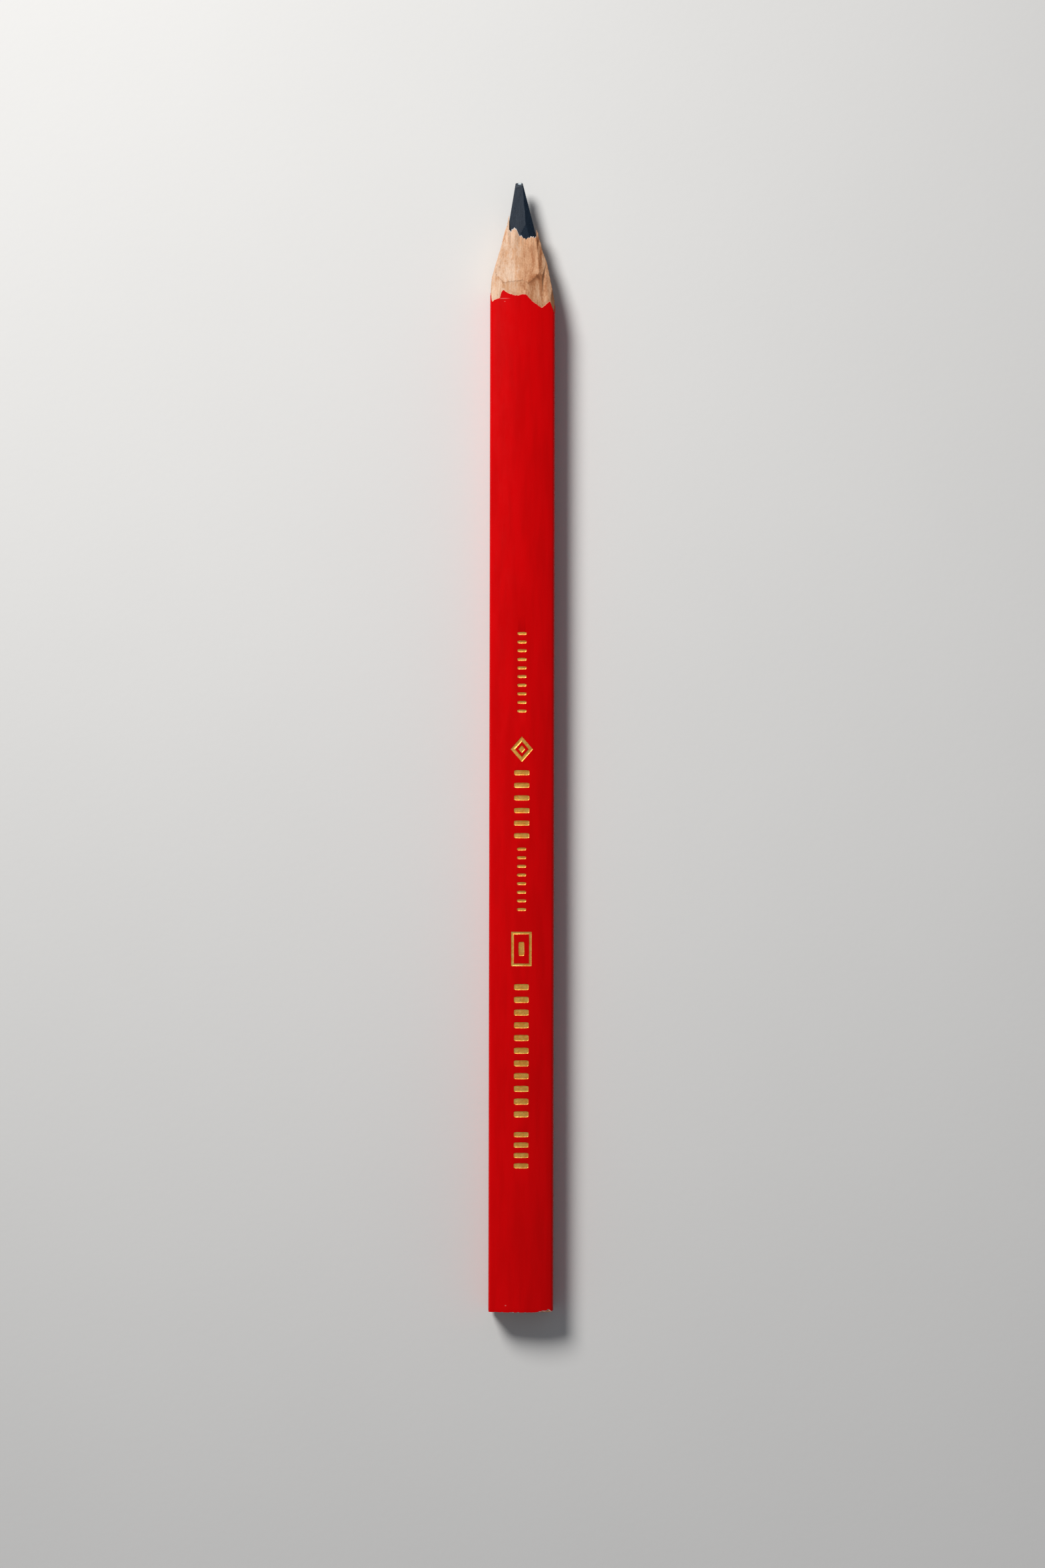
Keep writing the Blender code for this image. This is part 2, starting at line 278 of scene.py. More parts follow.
def stroke_radius(stroke, ray_angle, y):
    """How far along each ray from the axis a stroke's surface lies, at places y."""
    run = np.maximum(y - (TIP - stroke.start), 0)
    reach = stroke_reach(stroke, run)
    off = ray_angle - math.radians(stroke.direction)
    towards, sideways = np.cos(off), np.sin(off)
    a = stroke.hollow / 2 * sideways**2
    b = towards + stroke.hollow * sideways * stroke.centre
    c = np.maximum(reach + stroke.hollow / 2 * stroke.centre**2, LEAST_REACH)
    inside = b * b - 4 * a * c
    root = np.sqrt(np.maximum(inside, 0))
    radius = 2 * c / np.maximum(b + root, 1e-6)
    return np.where((inside > 0) & (b > GRAZING) & (run > 0), radius, FAR)


def split_x(y):
    return SPLIT_X + SPLIT_LEAN * (y - SPLIT_FROM)


def split_wall(ray_angle, y):
    """How far along each ray the split's wall lies, which drops from the edge of the first stroke."""
    x = split_x(y)
    stroke = STROKES[LEFT_OF_SPLIT]
    direction, face = math.radians(stroke.direction), math.radians(SPLIT_FACE)
    run = np.maximum(y - (TIP - stroke.start), 0)
    z = (stroke_reach(stroke, run) - x * math.cos(direction)) / math.sin(direction)
    reach = x * math.cos(face) + z * math.sin(face)
    return reach / np.maximum(np.cos(ray_angle - face), 0.01)


def stroke_radii(ray_angle, y):
    """How far along each ray every stroke lies. The first two meet in the wall of the split."""
    radii = np.array([stroke_radius(stroke, ray_angle, y) for stroke in STROKES])
    wall = split_wall(ray_angle, y)
    left = radii[LEFT_OF_SPLIT] < wall
    radii[RIGHT_OF_SPLIT] = np.where(left, FAR, np.maximum(radii[RIGHT_OF_SPLIT], wall))
    radii[LEFT_OF_SPLIT] = np.where(left, radii[LEFT_OF_SPLIT], FAR)
    return radii


def carve(ray_angle, y):
    """The cut surface's radius, how torn it is, from 0 to 1, which also sets the painted shade at its
    steps, and the tone of its wood, which is partly painted shade.
    """
    radii = stroke_radii(ray_angle, y)
    winner, radius = radii.argmin(0), radii.min(0)
    ranks = np.array([stroke.rank for stroke in STROKES])
    above = np.array([radii[ranks > rank].min(0) for rank in (0, 1)] + [np.full_like(radius, FAR)])
    clearance = np.take_along_axis(above, ranks[winner][None], 0)[0] - radius
    reach = np.array([stroke.reach for stroke in STROKES])[winner]
    torn_and_shade = np.where(reach > 0, np.exp(-clearance / np.maximum(reach, 0.01)), 0)
    beyond = np.maximum(radius - split_wall(ray_angle, y), 0)
    torn_and_shade = np.where(winner == RIGHT_OF_SPLIT, SPLIT_TORN_AND_SHADE * np.exp(-beyond / SPLIT_TORN_AND_SHADE_REACH), torn_and_shade)
    weights = np.exp(-(radii - radius) / TONE_BLEND)
    tones = np.array([stroke.tone for stroke in STROKES])
    return radius, torn_and_shade, np.tensordot(tones, weights, 1) / weights.sum(0)


def stroke_bite(stroke, points):
    """Where along the pencil a stroke's surface passes through points of an outline."""
    angle = math.radians(stroke.direction)
    towards = points @ [math.cos(angle), math.sin(angle)]
    sideways = points @ [-math.sin(angle), math.cos(angle)]
    depth = support(stroke.direction) - towards + stroke.hollow / 2 * (sideways - stroke.centre) ** 2
    slope = math.tan(math.radians(stroke.slope))
    if stroke.bend:
        inside = slope**2 - 2 * stroke.bend * depth
        run = np.where(inside > 0, (slope - np.sqrt(np.maximum(inside, 0))) / stroke.bend, FAR)
    else:
        run = depth / slope
    return TIP - stroke.start + np.maximum(run, 0)


def paint_end(points):
    """Where the knife has cut the coats away, by column."""
    bites = np.array([stroke_bite(stroke, points) for stroke in STROKES])
    right = points[:, 0] > split_x(bites[LEFT_OF_SPLIT])
    bites[LEFT_OF_SPLIT] = np.where(right, FAR, bites[LEFT_OF_SPLIT])
    bites[RIGHT_OF_SPLIT] = np.where(right, bites[RIGHT_OF_SPLIT], FAR)
    return bites.min(0)


# Meshes

def mesh_object(name, points, faces, material, sharp=SHARP_ANGLE):
    mesh = bpy.data.meshes.new(name)
    points = (np.asarray(points) + [0, 0, MIDDLE]) * MM
    mesh.from_pydata(points.tolist(), [], faces)
    mesh.validate()
    obj = bpy.data.objects.new(name, mesh)
    bpy.context.scene.collection.objects.link(obj)
    bm = bmesh.new()
    bm.from_mesh(mesh)
    bmesh.ops.recalc_face_normals(bm, faces=bm.faces)
    bm.to_mesh(mesh)
    bm.free()
    mesh.materials.append(material)
    mesh.shade_smooth()
    mesh.set_sharp_from_angle(angle=math.radians(sharp))
    return obj


def ring_faces(rows, columns, first=0, wrap=True):
    """Quads between rows of points. The last column joins the first when it wraps."""
    faces = []
    last = columns if wrap else columns - 1
    for row in range(rows - 1):
        start = first + row * columns
        above = start + columns
        for column in range(last):
            beside = (column + 1) % columns
            faces.append((start + column, start + beside, above + beside, above + column))
    return faces


def sheet(columns, rows):
    """A grid of points. Rows are places along y, one set for each column of an outline."""
    across, up = (np.broadcast_to(columns[:, axis], rows.shape) for axis in (0, 1))
    return np.stack([across, rows, up], 2)


def coat(name, columns, normals, outer, inner, outer_rows, inner_rows, material, dent):
    """A thin open-ended shell between two insets from the barrel's outline, with its outside dented."""
    outside = sheet(columns - normals * outer, outer_rows)
    inside = sheet(columns - normals * inner, inner_rows)
    if dent:
        outward = np.stack([normals[:, 0], 0 * normals[:, 0], normals[:, 1]], 1)
        deep = dent(outside[..., 0], outside[..., 1], outside[..., 2])
        outside = outside - deep[..., None] * outward
    count = len(columns)
    points = np.concatenate([outside.reshape(-1, 3), inside.reshape(-1, 3)])
    faces = ring_faces(len(outer_rows), count)
    start = len(outer_rows) * count
    faces += [face[::-1] for face in ring_faces(len(inner_rows), count, start)]
    ends = ((0, start, 1), ((len(outer_rows) - 1) * count, start + (len(inner_rows) - 1) * count, -1))
    for a, b, way in ends:
        for column in range(count):
            beside = (column + 1) % count
            face = (a + column, b + column, b + beside, a + beside)
            faces.append(face[::way])
    return mesh_object(name, points, faces, material)


# Wood

SHARP_FROM = TIP - 24.0
WOOD_END = TIP - 4.6
TEETH_FROM = TIP - 10.9
TEETH_RISE = 2.5
THIN_WOOD = 0.04  # wood no thicker than this, over the core, gets a pale painted highlight
SAWN_INSET = 0.03  # how far the sawn wood lies inside the butt
WOOD_COLUMN = 0.13
WOOD_ROW = 0.085
GLUE_ROW = 0.15
UPPER_SEED = 1
LOWER_SEED = 21


def rays_of(columns):
    return np.arctan2(columns[:, 1], columns[:, 0]), np.hypot(columns[:, 0], columns[:, 1])


def wood_run_out(x, seed):
    """The broken end of the thin wood over the core: large teeth, and fibres between them."""
    coarse = np.interp(x, TEETH_X, TEETH_Y) if seed == UPPER_SEED else noise(x / 0.7, x * 0, seed)
    return coarse + 0.45 * noise(x / 0.17, x * 0, seed + 1) + 0.2 * noise(x / 0.07, x * 0, seed + 2)


def fibre_relief(x, y, seed):
    """Fine ridges along the grain, with faint ripples where the blade chattered."""
    ridges = 0.014 * noise(x / 0.16, y / 4, seed) + 0.022 * noise(x / 0.55, y / 7, seed + 1)
    chatter = 0.006 * noise(x / 2.5, y / 0.3, seed + 2)
    return ridges + chatter


def torn_back(angles, radii, y, seed):
    """Places shifted along the pencil, so that the strokes leave the thin wood with a ragged end."""
    radius = np.minimum(radii, stroke_radii(angles, y).min(0))
    reach = smoothstep(TEETH_FROM, TEETH_FROM + TEETH_RISE, y)
    return y - wood_run_out(radius * np.cos(angles), seed) * reach


def sharpened_rings(angles, radii, places, seed):
    y = places[:, None] + 0 * angles
    stroked, torn_and_shade, _ = carve(angles, torn_back(angles, radii, y, seed))
    radius = np.minimum(radii, stroked)
    cut = smoothstep(0.0, 0.12, radii - radius)
    across = radius * np.cos(angles) + 1.7 * radius * np.sin(angles)
    radius = radius + cut * (fibre_relief(across, y, seed + 5) - TORN_DEPTH * torn_and_shade)
    return np.stack([radius * np.cos(angles), y, radius * np.sin(angles)], 2)


# Adds the stains, most of the browner ones painted shade, to a tone
def stained_and_shaded(x, y, tone):
    for stain_or_shade in STAINS_AND_SHADE:
        off = ((x - stain_or_shade.x) / stain_or_shade.wide) ** 2 + ((TIP - y - stain_or_shade.back) / stain_or_shade.long) ** 2
        tone = tone + stain_or_shade.tone * np.exp(-off)
    return tone


def paint_tones(obj, seed):
    """Stores on the wood's points how brown it is, partly as painted shade, how torn it is, with the
    painted shade of its steps, and how thin it is, for a painted highlight.
    """
    points = np.empty(len(obj.data.vertices) * 3)
    obj.data.vertices.foreach_get("co", points)
    x, y, z = (points.reshape(-1, 3) / MM - [0, 0, MIDDLE]).T
    blur = 0.06 * noise(x / 0.13, y / 0.3, seed + 11) + 0.12 * noise(x / 0.4, y / 0.7, seed + 12)
    angles = np.arctan2(z, x + blur)
    warped = torn_back(angles, np.full_like(x, FAR), y + 2 * blur, seed)
    _, torn_and_shade, tone = carve(angles, warped)
    over_core = np.maximum(np.abs(z) - CORE_THICKNESS / 2, 0)
    thin = np.exp(-over_core / THIN_WOOD) * (np.abs(x) < CORE_WIDTH / 2 - 0.05)
    thin = thin * smoothstep(TEETH_FROM + 1.5, TEETH_FROM + TEETH_RISE, y)
    if seed == UPPER_SEED:
        tone = stained_and_shaded(x + 3 * blur, y + 6 * blur, tone)
    for name, values in (("tone", tone), ("torn_and_shade", torn_and_shade), ("thin", thin)):
        layer = obj.data.attributes.new(name, "FLOAT", "POINT")
        layer.data.foreach_set("value", np.ascontiguousarray(values, np.float32))


def sawn_end(columns, side, seed):
    """Rings from the middle of a slat's sawn end to its rim, with the marks of the saw."""
    rings = []
    for shrink in (0.03, 0.12, 0.24, 0.36, 0.48, 0.6, 0.72, 0.84, 0.92, 0.98, 0.994, 1.0):
        x = columns[:, 0] * shrink
        z = side * SEAM + (columns[:, 1] - side * SEAM) * shrink
        sawn = 0.025 * noise(x / 2.6, z / 0.22, seed + 9) + 0.02 * noise(x / 0.3, z / 0.3, seed + 10)
        edge = 0.05 * smoothstep(0.98, 1.0, shrink)
        rings.append(np.stack([x, BUTT + SAWN_INSET + sawn + edge + 0 * x, z], 1))
    return np.array(rings)


def slat(name, side, seed, material):
    columns, normals = upper_outline(WOOD_COLUMN)
    columns = (columns - normals * WOOD_INSET) * [1, side]
    angles, radii = rays_of(columns)
    plain = np.array([BUTT + 0.3, BUTT + 3, 0, SHARP_FROM - 1])
    straight = sheet(columns, plain[:, None] + 0 * angles)
    cut = sharpened_rings(angles, radii, np.arange(SHARP_FROM, WOOD_END, WOOD_ROW), seed)
    rings = np.concatenate([sawn_end(columns, side, seed), straight, cut])
    rings[:, [0, -1], 2] = side * SEAM
    rows, count = rings.shape[:2]
    faces = ring_faces(rows, count)
    faces.append(tuple(range(count)))
    faces.append(tuple(range((rows - 1) * count, rows * count)))
    obj = mesh_object(name, rings.reshape(-1, 3), faces, material)
    cut_groove(obj)
    paint_tones(obj, seed)
    return obj


def cut_groove(obj):
    """Takes the core's groove out of a slat, which also trims the thin wood that ran on past it."""
    bm = bmesh.new()
    bmesh.ops.create_cube(bm, size=1)
    past_both_ends = 20
    size = Vector((CORE_WIDTH + 2 * HAIR, TIP - BUTT + past_both_ends, CORE_THICKNESS + 2 * HAIR)) * MM
    bmesh.ops.scale(bm, vec=size, verts=bm.verts)
    bmesh.ops.translate(bm, vec=(0, 0, MIDDLE * MM), verts=bm.verts)
    mesh = bpy.data.meshes.new("groove")
    bm.to_mesh(mesh)
    bm.free()
    groove = bpy.data.objects.new("groove", mesh)
    bpy.context.scene.collection.objects.link(groove)
    cut = obj.modifiers.new("groove", "BOOLEAN")
    cut.operation = "DIFFERENCE"
    cut.object = groove
    cut.solver = "MANIFOLD"
    bpy.context.view_layer.update()
    evaluated = obj.evaluated_get(bpy.context.evaluated_depsgraph_get())
    done = bpy.data.meshes.new_from_object(evaluated)
    obj.modifiers.clear()
    obj.data = done
    bpy.data.objects.remove(groove)
    done.set_sharp_from_angle(angle=math.radians(SHARP_ANGLE))


def glue_line(name, side, material):
    """The glue film between the slats, which the strokes cut flush with the wood."""
    plain = [BUTT + SAWN_INSET, BUTT + 0.3, 0]
    places = np.concatenate([plain, np.arange(SHARP_FROM, WOOD_END, GLUE_ROW)])
    angle = 0.0 if side > 0 else math.pi
    stroked = stroke_radii(np.full_like(places, angle), places).min(0)
    outer = np.minimum(WIDTH / 2 - WOOD_INSET, stroked) - 0.01
    inner = CORE_WIDTH / 2 + HAIR
    keep = outer > inner + 0.03
    film = SEAM - HAIR / 2
    points = []
    for x, y in zip(outer[keep], places[keep]):
        points += [(side * inner, y, -film), (side * x, y, -film),
                   (side * x, y, film), (side * inner, y, film)]
    rows = len(points) // 4
    faces = ring_faces(rows, 4)
    faces.append((3, 2, 1, 0))
    faces.append(tuple(range(4 * rows - 4, 4 * rows)))
    return mesh_object(name, points, faces, material)


# Core

CORE_SHARP_FROM = TIP - 13.4
POINT_X = -0.45  # the point is worn to one side of the barrel's axis
TIP_ROUNDING = 0.14
NEAR_TIP = 0.2
CORE_COLUMN = 0.06
CORE_ROW = 0.09


def core_outline(spacing):
    x, z, edge = CORE_WIDTH / 2, CORE_THICKNESS / 2, CORE_EDGE
    corners = [(x, -z + edge), (x, z - edge), (x - edge, z), (-x + edge, z),
               (-x, z - edge), (-x, -z + edge), (-x + edge, -z), (x - edge, -z)]
    points = []
    for start, end in zip(corners, corners[1:] + corners[:1]):
        start, end = np.array(start), np.array(end)
        steps = max(2, round(np.linalg.norm(end - start) / spacing))
        points += [start + (end - start) * i / steps for i in range(steps)]
    return np.array(points)


def flats_radius(angles, from_tip):
    """How far along each ray from the core's own axis the nearest flat lies."""
    found = []
    for flat in CORE_FLATS:
        reach = flat.at_tip - POINT_X * math.cos(math.radians(flat.direction))
        reach = reach + math.tan(math.radians(flat.slope)) * from_tip
        towards = np.cos(angles - math.radians(flat.direction))
        found.append(np.where(towards > GRAZING, reach / np.maximum(towards, GRAZING), FAR))
    return np.min(found, axis=0)


def core(material):
    columns = core_outline(CORE_COLUMN) - [POINT_X, 0]
    angles, radii = rays_of(columns)
    plain = [BUTT, BUTT + 0.04, BUTT + 1, 0]
    sharpened = np.arange(CORE_SHARP_FROM, TIP - NEAR_TIP, CORE_ROW)
    places = np.concatenate([plain, sharpened, TIP - NEAR_TIP * np.linspace(1, 0, 9)])
    from_tip = (TIP - places)[:, None] + 0 * angles
    radius = np.minimum(radii, flats_radius(angles, from_tip))
    left = np.clip(TIP_ROUNDING - from_tip, 0, TIP_ROUNDING)
    radius = radius - TIP_ROUNDING + np.sqrt(np.maximum(TIP_ROUNDING**2 - left**2, 0))
    x, z = radius * np.cos(angles), radius * np.sin(angles)
    rubbed = smoothstep(0.0, 0.05, radii - radius)
    relief = 0.008 * noise((x + 1.3 * z) / 0.2, from_tip / 2.4, 31)
    relief = relief + 0.012 * noise(x / 0.9, from_tip / 1.6, 32)
    radius = radius + rubbed * relief * smoothstep(0.0, 0.4, from_tip)
    radius[0] -= 0.03
    y = places[:, None] + 0 * angles
    rings = np.stack([POINT_X + radius * np.cos(angles), y, radius * np.sin(angles)], 2)
    rows, count = rings.shape[:2]
    faces = ring_faces(rows, count)
    points = np.concatenate([rings.reshape(-1, 3), [(0, BUTT, 0), (POINT_X, TIP, 0)]])
    for column in range(count):
        beside = (column + 1) % count
        faces.append((beside, column, rows * count))
        faces.append(((rows - 1) * count + column, (rows - 1) * count + beside, rows * count + 1))
    return mesh_object("core", points, faces, material)


# Foil marks and the dents that the hot stamp leaves

FOIL_WALL = 0.10  # how wide the rounded walls of a dent are
FOIL_STEP = 0.09
FOIL_SHARP_ANGLE = 40
CORNER_ROUNDING = 0.2  # of a dent
BAR_ROUNDING = 0.08  # of the foil in it
RING_STEPS = 24
RING_LINES = (0, 0.12, 0.3, 0.5, 0.7, 0.88, 1)


def bars():
    """Every bar as its band, its middle and its two half sizes."""
    for band in BANDS:
        step = (band.last - band.first) / (band.count - 1)
        for i in range(band.count):
            yield band.name, band.first + i * step, band.width / 2, band.bar / 2
    yield "frame", FRAME_Y, FRAME_BAR_WIDTH / 2, FRAME_BAR_LENGTH / 2


def outside_box(x, y, middle, half_width, half_length):
    """Distance outside a box with rounded corners, and below zero inside it."""
    u = np.abs(x) - half_width + CORNER_ROUNDING
    v = np.abs(y - middle) - half_length + CORNER_ROUNDING
    beyond_corner = np.hypot(np.maximum(u, 0), np.maximum(v, 0))
    return np.minimum(np.maximum(u, v), 0) + beyond_corner - CORNER_ROUNDING


def outside_marks(x, y):
    """Distance outside the nearest foil mark, and below zero inside one."""
    distance = np.full(x.shape, FAR)
    for _, middle, half_width, half_length in bars():
        distance = np.minimum(distance, outside_box(x, y, middle, half_width, half_length))
    outer = outside_box(x, y, FRAME_Y, FRAME_WIDTH / 2, FRAME_LENGTH / 2)
    distance = np.minimum(distance, np.maximum(outer, -outer - FRAME_LINE))
    steep = math.hypot(2 / LOZENGE_WIDTH, 2 / LOZENGE_LENGTH)
    around = np.abs(x) / (LOZENGE_WIDTH / 2) + np.abs(y - LOZENGE_Y) / (LOZENGE_LENGTH / 2)
    ring = np.maximum(around - 1, LOZENGE_HOLE - around)
    return np.minimum(distance, np.minimum(ring, around - LOZENGE_CENTRE) / steep)


def stamp_rows():
    """Places along the lacquer, close together where a mark's walls rise."""
    rows = []
    for _, middle, _, half_length in bars():
        for edge in (-FOIL_WALL, -FOIL_WALL / 2, 0.0, 0.06):
            rows += [middle - half_length - edge, middle + half_length + edge]
        rows.append(middle)
    for middle, length in ((LOZENGE_Y, LOZENGE_LENGTH), (FRAME_Y, FRAME_LENGTH)):
        rows += list(np.arange(middle - length / 2 - 0.2, middle + length / 2 + 0.2, 0.1))
    rows += list(np.arange(BUTT + 2, TIP - 25, 3.0))
    rows = np.unique(np.round(rows, 2))
    return rows[np.concatenate([[True], np.diff(rows) > 0.035])]


def on_bow(x, y, inset):
    radius = BOW_RADIUS - inset
    return np.stack([x, y, BOW_CENTRE + np.sqrt(radius**2 - x**2)], -1)


def foil_depth(x, y):
    """The pressed foil lies flat in its dent and climbs the dent's rounded walls."""
    return STAMP_DEPTH * (1 - smoothstep(-FOIL_WALL, 0.0, outside_marks(x, y)) * 0.8)


def foil_patch(x, y, wrap):
    """A thin closed piece of foil over a grid of places on the upper face."""
    depth = foil_depth(x, y) + 0.006 * noise(x / 0.3, y / 0.3, 43)
    worn = 0.03 * noise(x / 0.25, y / 0.25, 41)
    over = on_bow(x + worn, y + 0.8 * worn, depth - FOIL)
    under = on_bow(x + worn, y + 0.8 * worn, depth)
    rows, count = x.shape
    start = rows * count
    faces = ring_faces(rows, count, 0, wrap)
    faces += [face[::-1] for face in ring_faces(rows, count, start, wrap)]
    rim = [[row * count + column for column in range(count)] for row in (0, rows - 1)]
    if wrap:
        loops = [line + line[:1] for line in rim]
    else:
        left = [row * count for row in range(rows)]
        right = [row * count + count - 1 for row in range(rows)]
        loops = [rim[0] + right[1:] + rim[1][::-1][1:] + left[::-1][1:]]
    for loop in loops:
        faces += [(a, b, b + start, a + start) for a, b in zip(loop, loop[1:])]
    return np.concatenate([over.reshape(-1, 3), under.reshape(-1, 3)]), faces


def spaced(half, step):
    """Places from one side to the other, closer together near both ends."""
    t = np.linspace(-1, 1, 2 * max(3, round(half / step)) + 1)
    return half * np.sin(t * math.pi / 2)


def bar_patch(middle, half_width, half_length):
    u, v = np.meshgrid(spaced(half_width, FOIL_STEP), spaced(half_length, FOIL_STEP))
    corner = np.abs(u / half_width * v / half_length) ** 6
    x = u - np.sign(u) * BAR_ROUNDING * corner
    return foil_patch(x, middle + v - np.sign(v) * BAR_ROUNDING * corner, False)


def loop_points(corners, steps):
    points = []
    for start, end in zip(corners, corners[1:] + corners[:1]):
        start, end = np.array(start), np.array(end)
        points += [start + (end - start) * i / steps for i in range(steps)]
    return np.array(points)


def ring_patch(corners, hole, middle):
    """A closed band of foil between a shape and the same shape with other half sizes."""
    outer, inner = loop_points(corners, RING_STEPS), loop_points(hole, RING_STEPS)
    grid = np.array([outer + (inner - outer) * t for t in RING_LINES])
    return foil_patch(grid[..., 0], middle + grid[..., 1], True)


def box_corners(x, y):
    return [(x, y), (-x, y), (-x, -y), (x, -y)]


def diamond_corners(scale):
    x, y = LOZENGE_WIDTH / 2 * scale, LOZENGE_LENGTH / 2 * scale
    return [(x, 0), (0, y), (-x, 0), (0, -y)]


def foil_piece(name, patches, nodes, material):
    points, faces = [], []
    for patch_points, patch_faces in patches:
        start = sum(len(p) for p in points)
        points.append(patch_points)
        faces += [tuple(start + corner for corner in face) for face in patch_faces]
    obj = mesh_object(name, np.concatenate(points), faces, material, FOIL_SHARP_ANGLE)
    return show(obj, "foil", *nodes)


def make_foil(material):
    for band in BANDS:
        patches = [bar_patch(*bar[1:]) for bar in bars() if bar[0] == band.name]
        nodes = [f"foil_{band.name}_{i + 1:02d}" for i in range(band.count)]
        foil_piece(f"foil_band_{band.name}", patches, nodes, material)
    ring = ring_patch(diamond_corners(1), diamond_corners(LOZENGE_HOLE), LOZENGE_Y)
    centre = ring_patch(diamond_corners(LOZENGE_CENTRE), diamond_corners(0.02), LOZENGE_Y)
    foil_piece("foil_mark_lozenge", [ring, centre], ["foil_lozenge", "foil_lozenge_centre"], material)
    half_width, half_length = FRAME_WIDTH / 2, FRAME_LENGTH / 2
    frame_ring = ring_patch(box_corners(half_width, half_length),
                            box_corners(half_width - FRAME_LINE, half_length - FRAME_LINE), FRAME_Y)
    bar = [bar_patch(*bar[1:]) for bar in bars() if bar[0] == "frame"]
    foil_piece("foil_mark_frame", [frame_ring] + bar, ["foil_frame", "foil_frame_bar"], material)


# Coats

COAT_COLUMN = 0.16
STAMP_COLUMN = 0.08
UNDER_COLUMN = 0.256
CHIP_SEED = 71
PRIMER_SHOWN = 0.14  # how far the primer reaches past the lacquer's chipped edge
PAINT_GAP = 0.03  # how far the primer reaches past the lacquer at the knife's end
OUTER_STEPS = (8, 30)  # rows drawn out at the butt and at the knife's end
INNER_STEPS = (2, 10)


def hump(x, middle, width):
    return np.exp(-(((x - middle) / width) ** 2))


def butt_chips(columns, seed):
    """How far back from the sawn end each column of a coat is chipped away."""
    x, z = columns[:, 0], columns[:, 1]
    around = np.unwrap(np.arctan2(z, x)) * 5
    ragged = 0.05 + 0.12 * noise(around / 0.35, 0 * x, seed)
    ragged = ragged + 0.07 * noise(around / 0.12, 0 * x, seed + 1)
    corner = (0.24 * smoothstep(2.1, 3.3, x) + 0.25 * hump(x, 4.3, 0.25)) * (z > 0)
    under = 0.5 * hump(x, 1.9, 0.6) * (z < 0)
    return np.maximum(ragged + (corner + under) * (1 + 0.5 * noise(around / 0.2, 0 * x, seed)), 0.0)


def coat_rows(start, end, middle_rows, start_steps, end_steps):
    """Rows for every column: fixed ones along the barrel, and drawn-out ones at its two ends."""
    spread = np.linspace(1, 0, start_steps + 1)[:-1, None] ** 1.5
    first = middle_rows[0] + (start - middle_rows[0]) * spread
    bunched = 1 - (1 - np.linspace(0, 1, end_steps + 1)[1:, None]) ** 1.6
    last = middle_rows[-1] + (end - middle_rows[-1]) * bunched
    middle = middle_rows[:, None] + 0 * start
    return np.concatenate([first, middle, last])


def lacquer_dent(x, y, z):
    """What sinks the lacquer: the stamp, the rounded edge at the sawn end, and knocks."""
    outside = outside_marks(x, y)
    stamped = STAMP_DEPTH * (1 - smoothstep(-FOIL_WALL, FOIL_WALL / 2, outside))
    stamped = (stamped + 0.018 * (1 - smoothstep(-FOIL_WALL / 2, 0, outside))) * (z > 0)
    rolled = 0.03 * (1 - smoothstep(BUTT, BUTT + 0.35, y))
    uneven = 0.006 * noise(x / 1.1, y / 1.3, 51) + 0.010 * noise(x / 3.0, y / 9.0, 52)
    return stamped + rolled + uneven


def make_coats(lacquer_material, primer_material):
    columns, normals = whole_outline(COAT_COLUMN, STAMP_COLUMN, UNDER_COLUMN)
    x, z = columns.T
    ragged = 0.10 * noise(x / 0.3, z, 61) + 0.09 * noise(x / 0.11, z, 62)
    edge = paint_end(columns) + ragged + np.where(z > 0, np.interp(x, PAINT_X, PAINT_Y), 0)
    plain = np.array([BUTT + 2, 0, TIP - 25])
    lacquer_inner = LACQUER - HAIR / 2
    primer_inner = WOOD_INSET - HAIR / 2
    layers = (
        ("lacquer", 0.0, lacquer_inner, lacquer_material, 0.0, edge, stamp_rows(), lacquer_dent),
        ("primer", LACQUER, primer_inner, primer_material, PRIMER_SHOWN, edge + PAINT_GAP, plain, None),
    )
    for name, outer, inner, material, shown, end, rows, dent in layers:
        start = BUTT + np.maximum(butt_chips(columns, CHIP_SEED) - shown, 0.02)
        outer_rows = coat_rows(start, end, rows, *OUTER_STEPS)
        inner_rows = coat_rows(start, end + PAINT_GAP, plain, *INNER_STEPS)
        piece = coat(name, columns, normals, outer, inner, outer_rows, inner_rows, material, dent)
        show(piece, name, f"{name}_coat")


def show(piece, slot, *nodes):
    """Fixes a piece to the pencil, in place of the CAD nodes that it refines."""
    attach(piece, "root")
    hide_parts(*nodes)
    return piece


# Materials: every one works in millimetres, on the object's own coordinates

